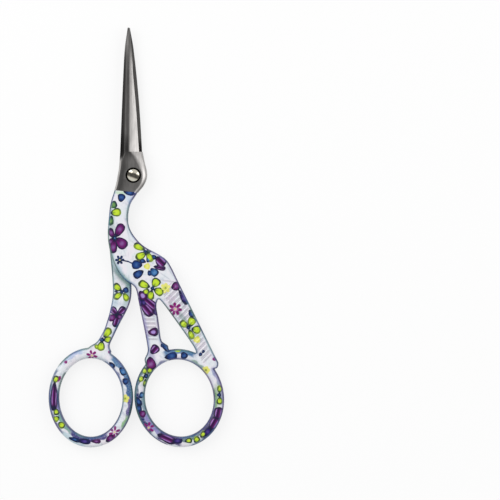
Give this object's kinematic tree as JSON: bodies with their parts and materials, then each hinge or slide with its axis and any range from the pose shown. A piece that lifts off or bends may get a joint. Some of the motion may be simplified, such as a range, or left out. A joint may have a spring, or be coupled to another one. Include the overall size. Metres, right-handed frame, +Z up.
{
  "type": "embroidery scissors",
  "caption": "Stork-shaped embroidery scissors: slim pointed steel blades as the bill, a slotted screw as the eye, printed metal handles as body, legs and tail on finger rings.",
  "frame": {"origin": "where the pivot axis meets the table, with the scissors lying on their back", "axes": "+Y from the finger rings towards the tips, +X towards the tail and right ring, +Z up from the table towards the screw's head"},
  "size_m": [0.0479, 0.1143, 0.0043],
  "materials": {
    "blade_steel": "dark brushed blades with a pale ground bevel",
    "printed_handle": "glossy floral print on a white ground",
    "screw_steel": "polished pale steel with a warm cast"
  },
  "bodies": {
    "rear_half": {"rear_blade": "blade_steel", "rear_handle": "printed_handle", "pivot_screw": "screw_steel"},
    "front_half": {"front_blade": "blade_steel", "front_handle": "printed_handle"}
  },
  "joints": [
    {"name": "pivot", "type": "hinge", "parent": "rear_half", "child": "front_half", "pos_m": [0, 0, 0.002], "axis": [0, 0, 1], "range_deg": [0, 70]}
  ]
}
